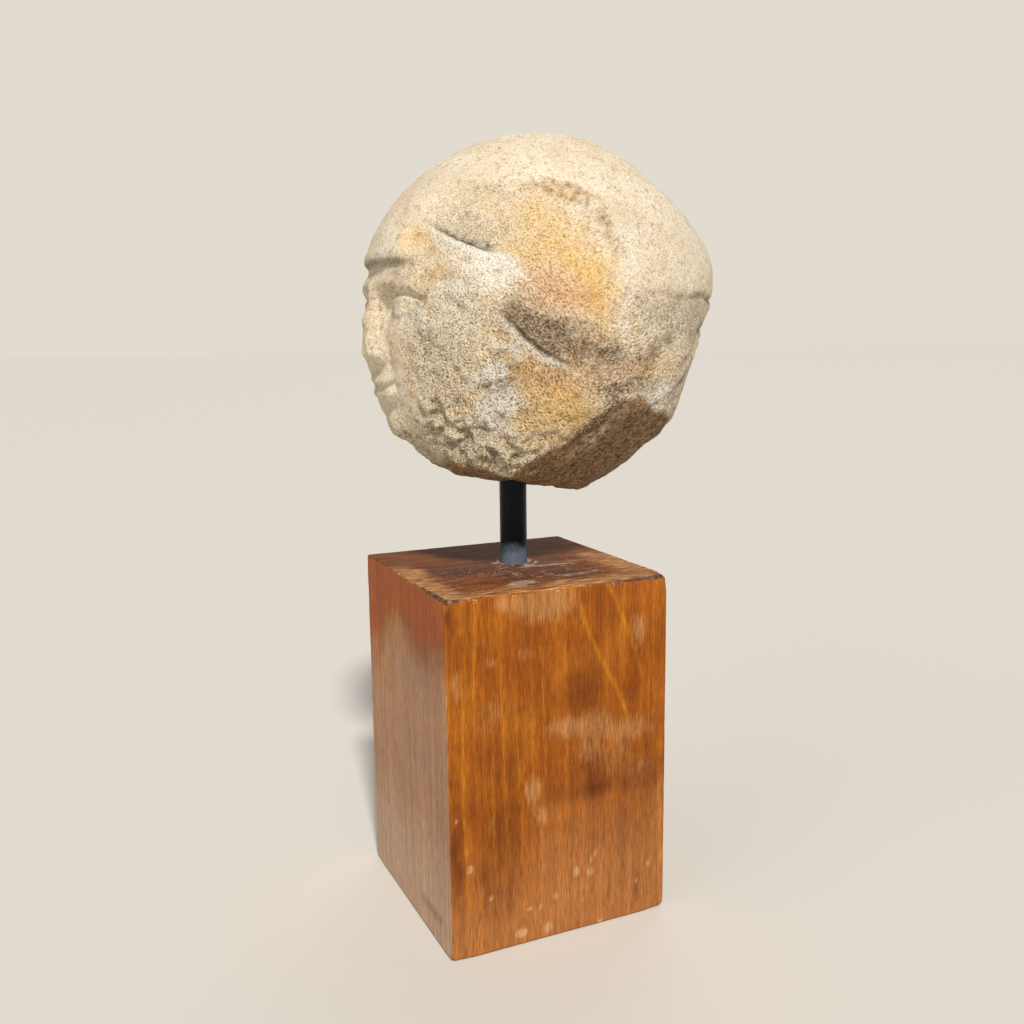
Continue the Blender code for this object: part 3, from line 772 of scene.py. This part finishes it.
wood = {
    "edge": 0.7,        # usual radius of the worn edges
    "wear": 0.8,        # how much more the edges lose in places
    "bevel": 1.5,       # how much more the two worst edges of the top lose
    "footCorner": 1.3,  # how much more the foot's corners lose
    "mouth": 0.9,       # width of the bore's broken mouth
    "gap": 0.3,         # clearance round the rod
    "sideColumns": 120,
    "sideRows": 112,
    "topRows": 56,
    # marks on the +X face, each (y, z, half width, half height, strength)
    "faded": (
        (-7, 145, 12, 7.5, 1.1), (-25, 146, 5, 3, 0.5), (36, 128, 3, 6, 0.7), (-17, 125, 4, 3, 0.3),
        (-31, 123, 2, 2, 0.4), (-46, 116, 2, 6, 0.5), (-31, 102, 7, 9, 0.3), (2, 91, 9, 4.5, 0.6),
        (16, 90, 8, 6, 0.45), (32, 86, 12, 5, 0.5), (12, 79, 6, 6, 0.35), (24, 74, 10, 8, 0.3),
        (39, 68, 8, 7, 0.2), (-13, 66, 2.6, 5, 0.9), (-9.5, 56, 3, 4, 0.7), (47, 50, 2, 12, 0.4),
        (-31, 56, 2, 4, 0.3),
    ),
    "dark": (
        (9, 108, 8, 9, 0.5), (30, 76, 1.4, 7, 0.6), (17, 62, 9, 3.5, 0.7), (-48, 143, 2, 6, 0.7),
        (-47, 45, 2, 15, 0.6), (-35, 30, 1.6, 9, 0.5), (35, 12, 1.1, 9, 0.5), (22, 14, 1, 7, 0.4),
        (-24, 24, 1.2, 8, 0.4), (-42, 66, 6, 12, 0.25), (-2, 64, 7, 5, 0.45), (39, 64, 9, 7, 0.35),
        (20, 70, 10, 5, 0.25),
    ),
    # specks of paint or plaster there, each (y, z, half width, half height)
    "specks": (
        (-41.5, 38.5, 1.6, 1.8), (6.5, 26.5, 1.4, 2.6), (13.4, 25, 1.4, 1.6), (13.8, 30.5, 0.5, 2.6),
        (15.4, 33, 0.5, 1.6), (41.8, 22, 1, 1), (36.2, 15.6, 0.9, 0.8), (-15.4, 15.2, 1.4, 1),
        (-10.3, 14.8, 0.8, 1), (-3, 17.6, 1.2, 1.6), (-19.3, 5.2, 3, 1.8), (-6.5, 4.6, 1.8, 2.4),
        (-32.8, 24, 0.8, 1.2), (18, 1, 1.2, 0.8), (-47, 60, 0.6, 1),
    ),
    # pale patches on the -Y face, each (x, z, half width, half height, strength)
    "sidePale": ((-12, 122, 13, 8, 0.7), (-27, 100, 7, 9, 0.9), (-4, 128, 5, 5, 0.4), (-30, 60, 6, 20, 0.2)),
    # colour of each kind of mark, where it comes in and is full with its ragged edge, and strength
    "markColours": {
        "ruddy": ("#a04e1c", 0.6, 1.3, 0.75), "dark": ("#56260f", 0.5, 1.4, 0.8),
        "faded": ("#b38352", 0.7, 1.15, 0.55), "golden": ("#c4811f", 0.6, 1.4, 0.7),
        "speck": ("#c39b6e", 0.7, 1.4, 0.65),
    },
}


# Places along a side from -1 to 1, closer together towards its ends, where the edges turn
def crowdedLine(count):
    share = np.linspace(-1.0, 1.0, count + 1)
    return 0.55 * share + 0.45 * np.sin(0.5 * math.pi * share)


# The square's outline, anticlockwise from its first corner: four sides of half length 1
def squareOutline():
    line = crowdedLine(wood["sideColumns"])[:-1]
    one = np.ones_like(line)
    sides = ((line, -one), (one, line), (-line, one), (-one, -line))
    return np.concatenate([np.stack(side, -1) for side in sides])


# A box's surface point moves in to its rounded edge: its nearest point on the inner box, plus the radius
def roundEdges(points, low, high, radius):
    inner = np.clip(points, low + radius[:, None], high - radius[:, None])
    offset = points - inner
    length = np.maximum(np.linalg.norm(offset, axis=1), 1e-6)
    return inner + offset / length[:, None] * radius[:, None]


# Hardwood, stained red-brown and oiled, its end grain on top: a low sheen over fine upright fibres
def makeHardwood():
    material, tree, shader = newMaterial("stained and oiled hardwood")
    place = addNode(tree, "TexCoord").outputs["Object"]
    mark = readMarks(tree, *wood["markColours"], "worn", "rubbed", "endGrain", "sideFace", "foot",
                     "dusk", "bleached", "dust")

    # Noise drawn out along the wood: each scale is in waves a metre
    def grainNoise(scales, detail=3, roughness=0.6):
        space = addNode(tree, "Mapping", {"Vector": place, "Scale": scales})
        return addNoise(tree, space.outputs[0], 1, detail, roughness)

    # fibres and pores are about 0.3 mm wide and 7 mm long, drawn a little wider so that they show
    fibres = grainNoise((2300, 2300, 140), 3, 0.65)
    streaks = grainNoise((360, 360, 9), 4)
    bands = grainNoise((85, 85, 8))
    # growth layers 1 to 4 mm apart stand upright across X: straight lines on -Y, lines along Y on top
    layers = grainNoise((480, 26, 7), 3, 0.55)
    # smears left by the saw and cloth on the end grain, along Y
    smears = grainNoise((1500, 90, 1500), 3, 0.65)
    blotch = addNoise(tree, place, 45, 4, 0.6)
    ragged = addNoise(tree, place, 210, 4, 0.65)
    soft = calculate(tree, "ADD", times(tree, ragged, 0.6), times(tree, fibres, 0.6))

    tone = calculate(tree, "MULTIPLY_ADD", blotch, 0.4, times(tree, bands, 0.6))
    colour = rampColour(tree, tone, (0.38, "#7d3f0d"), (0.5, "#955112"), (0.6, "#ab661c"))
    colour = mixColours(tree, times(tree, mark["foot"], 0.72), colour, "#aa7040")
    # painted sheen: the -Y face paler and greyer below its border
    colour = mixColours(tree, mark["sideFace"], colour, "#b99a80")
    for key, (other, low, high, strength) in wood["markColours"].items():
        amount = remap(tree, calculate(tree, "ADD", mark[key], soft), low, high, 0, strength)
        colour = mixColours(tree, times(tree, amount, remap(tree, mark[key], 0, 0.15)), colour, other)
    colour = shadeColour(tree, colour, remap(tree, fibres, 0.38, 0.62, 0.72, 1.26))
    colour = shadeColour(tree, colour, remap(tree, streaks, 0.36, 0.64, 0.84, 1.16))

    endColour = rampColour(tree, layers, (0.35, "#653414"), (0.5, "#824819"), (0.64, "#a0642a"))
    endColour = mixColours(tree, remap(tree, mark["dusk"], 0, 1.2), endColour, "#583629")
    streaky = times(tree, mark["bleached"], remap(tree, smears, 0.4, 0.6, 0, 0.8))
    endColour = mixColours(tree, streaky, endColour, "#d29c66")
    endColour = shadeColour(tree, endColour, remap(tree, smears, 0.38, 0.62, 0.6, 1.4))
    colour = mixColours(tree, mark["endGrain"], colour, endColour)
    # dust and plaster fill some of the end grain's pores, dots about 1.4 mm apart
    pores = addNode(tree, "TexVoronoi", {"Vector": place, "Scale": 700.0}).outputs["Distance"]
    dots = times(tree, remap(tree, pores, 0.36, 0.08), remap(tree, ragged, 0.4, 0.58))
    film = remap(tree, calculate(tree, "ADD", mark["dust"], ragged), 1.2, 1.55, 0, 0.55)
    dusty = calculate(tree, "MAXIMUM", film, times(tree, dots, mark["dust"]))
    colour = mixColours(tree, dusty, colour, "#dcd2c6")
    scuffs = addNoise(tree, place, 800, 3, 0.6)
    scuffed = rampColour(tree, scuffs, (0.42, "#3a2a25"), (0.54, "#55423a"), (0.66, "#8d7c70"))
    for key, other, strength in (("worn", scuffed, 0.85), ("rubbed", "#8a5220", 0.6)):
        amount = remap(tree, calculate(tree, "ADD", mark[key], ragged), 0.7, 1.15, 0, strength)
        colour = mixColours(tree, amount, colour, other)
    gloss = remap(tree, soft, 0.4, 0.8, 0.46, 0.62)
    gloss = calculate(tree, "MULTIPLY_ADD", mark["faded"], 0.1, gloss)
    gloss = calculate(tree, "MULTIPLY_ADD", dusty, 0.3, gloss)
    height = calculate(tree, "MULTIPLY_ADD", mark["worn"], ragged, fibres)
    bump = addNode(tree, "Bump", {"Strength": 0.4, "Distance": 0.0005, "Height": height})
    setInputs(tree, shader, {
        "Base Color": colour, "Roughness": gloss, "IOR": 1.5, "Specular IOR Level": 0.14,
        "Normal": bump.outputs["Normal"]})
    return material


# Golden lines where growth layers leave the +X face, and thin ones beside them
def goldenLines(y, z):
    long = ridge(y, 8.5 + 23.5 * ease(142.0 - z, -5, 60), 0.9)
    long *= ease(z, 80, 96) * ease(z, 147, 137)
    down = 146.0 - z
    short = ridge(y, 23.0 + 0.52 * down - 0.0032 * down**2, 0.8) * ease(z, 90, 135)
    places = ((-38.0, 120.0), (-30.0, 60.0), (-26.0, 92.0), (-19.5, 60.0), (-8.0, 110.0), (-43.0, 70.0))
    thin = sum(dab(y - 0.9 * np.sin(0.05 * z + middleY), z, middleY, middleZ, 0.6, 42)
               for middleY, middleZ in places)
    return 0.6 * long + 0.5 * short + 0.4 * thin


# Rings from the bore's end up its wall, across the top, down the sides and in under the foot
def blockRings(low, high, axis, boreRadius, boreEnd):
    middle = 0.5 * (high + low)[:2]
    outline = middle + squareOutline() * 0.5 * (high - low)[:2]
    away = outline - axis
    away /= np.linalg.norm(away, axis=1)[:, None]
    top, foot, mouth = high[2], low[2], wood["mouth"]
    circle, rim = axis + away * boreRadius, axis + away * (boreRadius + mouth)
    level = np.ones((len(outline), 1))
    rings = [np.hstack([circle, level * z]) for z in (boreEnd, 0.5 * (boreEnd + top), top - mouth)]
    # the rows across the top crowd at the mouth and at the edge
    for share in 0.5 + 0.5 * crowdedLine(wood["topRows"]):
        rings.append(np.hstack([rim + (outline - rim) * share, level * top]))
    for share in 0.5 - 0.5 * crowdedLine(wood["sideRows"])[1:]:
        rings.append(np.hstack([outline, level * (foot + (top - foot) * share)]))
    for share in (0.985, 0.96, 0.9, 0.7, 0.4):
        rings.append(np.hstack([middle + (outline - middle) * share, level * foot]))
    return np.array(rings)


# The edges' radius, their chips, and where they are worn most: at the top, along the -Y edge's front
# half and the +X edge's far half
def edgeWear(points, low, high):
    x, y, z = points.T
    top, foot = high[2], low[2]
    wear = 0.5 + 0.5 * rough(points, 23, 61)
    chips = np.maximum(rough(points, 7, 62) - 0.25, 0) + np.maximum(rough(points, 3, 63) - 0.35, 0)
    frontEdge = ease(-y, 40, 48) * ease(x, 4, 44)
    sideEdge = ease(x, 40, 48) * ease(y, 2, 44)
    worst = ease(z, top - 8, top - 2) * np.maximum(frontEdge, sideEdge)
    radius = wood["edge"] + wood["wear"] * (0.4 * wear + 0.7 * chips) + wood["bevel"] * worst
    atCorner = ease(z, foot + 5, foot) * ease(np.abs(x * y), 2000, 2400)
    return radius + wood["footCorner"] * atCorner, chips, worst


# What the sides' colour follows: the marks of the two faces that show, and plain ones on the others
def sideMarks(points, low, high):
    x, y, z = points.T
    belowTop = ease(z, high[2] - 0.3, high[2] - 1.5)
    onLeft = ease(x - high[0], -1.2, -0.1) * belowTop
    onFront = ease(low[1] - y, -0.35, -0.02) * belowTop
    hidden = clamp(1.0 - onLeft - onFront) * ease(z, high[2] - 1, high[2] - 3)
    aside, upward = drifting(points, (1.6, 9, 71), (0.9, 3.5, 83))
    driftX, driftY, driftZ = x + aside, y + aside, z + upward
    upright = np.stack([driftX, driftY, 0.35 * driftZ], -1)
    slender = np.stack([x, y, 0.1 * z], -1)
    faded = onLeft * sumSpots(driftY, driftZ, wood["faded"])
    faded += onFront * sumSpots(driftX, driftZ, wood["sidePale"])
    faded += hidden * 0.55 * ease(rough(upright, 9, 73) + 0.3 * rough(points, 4, 74), 0.45, 0.9)
    dark = onLeft * sumSpots(driftY, driftZ, wood["dark"])
    dark += hidden * 0.6 * ease(rough(upright, 14, 75), 0.3, 0.9)
    dark += onFront * 0.4 * dab(x, z, 28, 12, 12, 2.2)
    speck = sum(1.1 * np.exp(-(((y - middleY) / wide) ** 2 + ((z - middleZ) / tall) ** 2) ** 2)
                for middleY, middleZ, wide, tall in wood["specks"])
    # the -Y face is red-brown above a ragged border, with a painted pale sheen below it that grows towards
    # the foot
    border = 129.0 - 16.0 * ease(-x, 15, 45)
    border += 6.0 * rough(points, 11, 81) + 3.0 * rough(points, 4, 86)
    paleSheen = 0.05 + 0.5 * ease(border - z, -4, 22) + 0.38 * ease(60.0 - z, 0, 45)
    ruddy = onFront * ease(z - border, -6, 9) + onLeft * 0.4 * dab(y, z, 38, 145, 12, 6)
    return {
        "faded": clamp(faded, 1.2),
        "dark": clamp(dark),
        "speck": onLeft * clamp(speck),
        "golden": onLeft * goldenLines(y, z) + hidden * 0.3 * ease(rough(slender, 3, 78), 0.3, 0.8),
        "sideFace": onFront * paleSheen,
        "ruddy": clamp(ruddy),
        "foot": ease(80.0 - 20.0 * ease(-y, 5, 20) - z, 0, 65),
    }


# What the top's colour follows: a dark film over its middle, orange ends and rim, and dust
def topMarks(points, onTop, axis, boreRadius):
    x, y, z = points.T
    film = ease(y + 0.2 * x, 42, 16) * ease(x - 0.05 * y, 45, 34)
    film *= ease(0.7 * y - x, -60, -18)
    film *= 1.0 - 0.8 * dab(x, y, 4, -46, 20, 11)
    film *= 1.0 - 0.7 * dab(x, y, -40, -40, 22, 18)
    film = 0.8 * clamp(film + 0.35 * rough(points, 9, 77))
    film += 0.5 * ridge(x + 0.06 * y, 4, 3) * ease(-y, 5, 15)
    loose = 3.0 * rough(points, 6, 85)
    rim = np.maximum(ease(x + loose, 37, 44), ease(y + loose, 32, 41) * ease(x, -14, 0))
    rim = np.maximum(rim, 1.2 * ease(-y + loose, 37, 46) * ease(x, -24, -8))
    bleached = clamp(rim * (0.9 + 0.4 * rough(points, 9, 82)), 1.2)
    # dust in saw lines along Y, strewn about, and as a ring and crumbs round the rod
    lines = ease(rough(np.stack([x, 0.25 * y, z], -1), 1.6, 79), 0.25, 0.8)
    lines *= ease(np.abs(y - 6), 42, 16) * ease(np.abs(x - 14), 26, 16)
    lines = 0.55 * lines + 0.9 * dab(x, y, 37, -10.5, 3.5, 6.5)
    fromAxis = np.hypot(x - axis[0], y - axis[1])
    strewn = 0.15 * ridge(fromAxis, 0, 26) + 0.1 + 0.4 * ease(x, -14, 10)
    strewn += 0.2 * rough(points, 8, 76) + 0.5 * ridge(x - 0.05 * y, 9.5, 1.6) * ridge(y, 20, 18) ** 2
    ring = ease(fromAxis, boreRadius + 1.9, boreRadius + 1)
    crumbs = 0.5 * ridge(fromAxis, 9.5, 2.5) * ease(rough(points, 1.6, 80), 0, 0.5)
    dust = 0.85 * ring + crumbs + clamp(strewn + 0.8 * lines, 0.95)
    return {"dusk": onTop * film, "bleached": onTop * bleached, "dust": clamp(onTop * dust)}


# The block from its rings, with worn edges; the bore's own rings keep their place
def makeBlock():
    low, high = (np.array(corner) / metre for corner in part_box("wood_block"))
    rodLow, rodHigh = (np.array(corner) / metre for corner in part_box("mounting_rod"))
    axis = 0.5 * (rodLow + rodHigh)[:2]
    boreRadius = 0.5 * (rodHigh[0] - rodLow[0]) + wood["gap"]
    boreEnd = rodLow[2] - wood["gap"]
    rings = blockRings(low, high, axis, boreRadius, boreEnd)
    flat = rings.reshape(-1, 3)
    radius, chips, worst = edgeWear(flat, low, high)
    rounded = roundEdges(flat, low, high, radius)
    moved = np.linalg.norm(rounded - flat, axis=1)
    rounded[:3 * rings.shape[1]] = flat[:3 * rings.shape[1]]
    z, top, foot = rounded[:, 2], high[2], low[2]
    onTop = ease(z, top - 3, top - 1)
    marks = {**sideMarks(rounded, low, high), **topMarks(rounded, onTop, axis, boreRadius)}
    marks["worn"] = onTop * ease(moved, 0.02, 0.4) * clamp(0.2 + 0.5 * chips + 0.8 * worst)
    marks["rubbed"] = (1.0 - onTop) * ease(moved, 0.05, 0.4) * (0.3 + 0.5 * chips)
    marks["endGrain"] = np.maximum(ease(z, top - 0.9, top - 0.2), ease(z, foot + 0.6, foot + 0.1))
    # these rows go up the bore and down the sides, so the order of the columns is turned round
    turned = {key: value.reshape(rings.shape[:2])[:, ::-1] for key, value in marks.items()}
    first, last = np.append(axis, boreEnd), np.append(0.5 * (low + high)[:2], foot)
    shape = rounded.reshape(rings.shape)[:, ::-1]
    block = ringMesh("hardwoodBlock", shape, first, last, turned, makeHardwood())
    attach(block, "root")
    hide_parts("wood_block")


makeBlock()

print("rod")

steelRod = {
    "columns": 96,
    "chamfer": 0.8,
    "dustTop": 14.4,  # how far the dust reaches above the wood
    "fineTop": 36,    # up to here above the wood the rows are close together
}


# Steel bar, blackened and waxed: dark with a soft line of light, and grey with dust at its foot
def makeBlackSteel():
    material, tree, shader = newMaterial("blackened steel")
    place = addNode(tree, "TexCoord").outputs["Object"]
    dust = readMarks(tree, "dust")["dust"]
    # mill scale comes in spots about 1 mm across
    scale = addNoise(tree, place, 900)
    smears = addNoise(tree, place, 320, 4, 0.65)
    steel = rampColour(tree, scale, (0.3, "#0f1012"), (0.7, "#1d1f23"))
    amount = remap(tree, calculate(tree, "ADD", dust, smears), 0.8, 1.4, 0, 0.6)
    colour = mixColours(tree, amount, steel, "#728194")
    bump = addNode(tree, "Bump", {"Strength": 0.2, "Distance": 0.0002, "Height": scale})
    setInputs(tree, shader, {
        "Base Color": colour, "Metallic": remap(tree, amount, 0, 0.7, 0.85, 0),
        "Roughness": remap(tree, amount, 0, 0.7, 0.38, 0.9), "Normal": bump.outputs["Normal"]})
    return material


# A turned bar: radius and height along its profile, from the foot up
def makeRod():
    low, high = (np.array(corner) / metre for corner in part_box("mounting_rod"))
    axis = 0.5 * (low + high)[:2]
    radius = 0.5 * (high[0] - low[0])
    chamfer = steelRod["chamfer"]
    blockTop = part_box("wood_block")[1][2] / metre
    heights = np.concatenate([
        [low[2], low[2] + chamfer], np.linspace(low[2] + 8.0, blockTop - 1.0, 6),
        np.linspace(blockTop, blockTop + steelRod["fineTop"], 60), [high[2] - chamfer, high[2]]])
    radii = np.full(len(heights), radius)
    radii[0] = radii[-1] = radius - chamfer
    turn = np.arange(steelRod["columns"]) / steelRod["columns"] * 2.0 * math.pi
    x = axis[0] + radii[:, None] * np.sin(turn)
    y = axis[1] - radii[:, None] * np.cos(turn)
    z = heights[:, None] * np.ones_like(turn)
    rings = np.stack([x, y, z], -1)
    dust = ease(z - blockTop, steelRod["dustTop"], 2) * (z > blockTop - 2)
    first, last = np.append(axis, low[2]), np.append(axis, high[2])
    rod = ringMesh("blackSteelRod", rings, first, last, {"dust": dust}, makeBlackSteel())
    rod.data.set_sharp_from_angle(angle=radians(35.0))
    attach(rod, "root")
    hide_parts("mounting_rod")


makeRod()
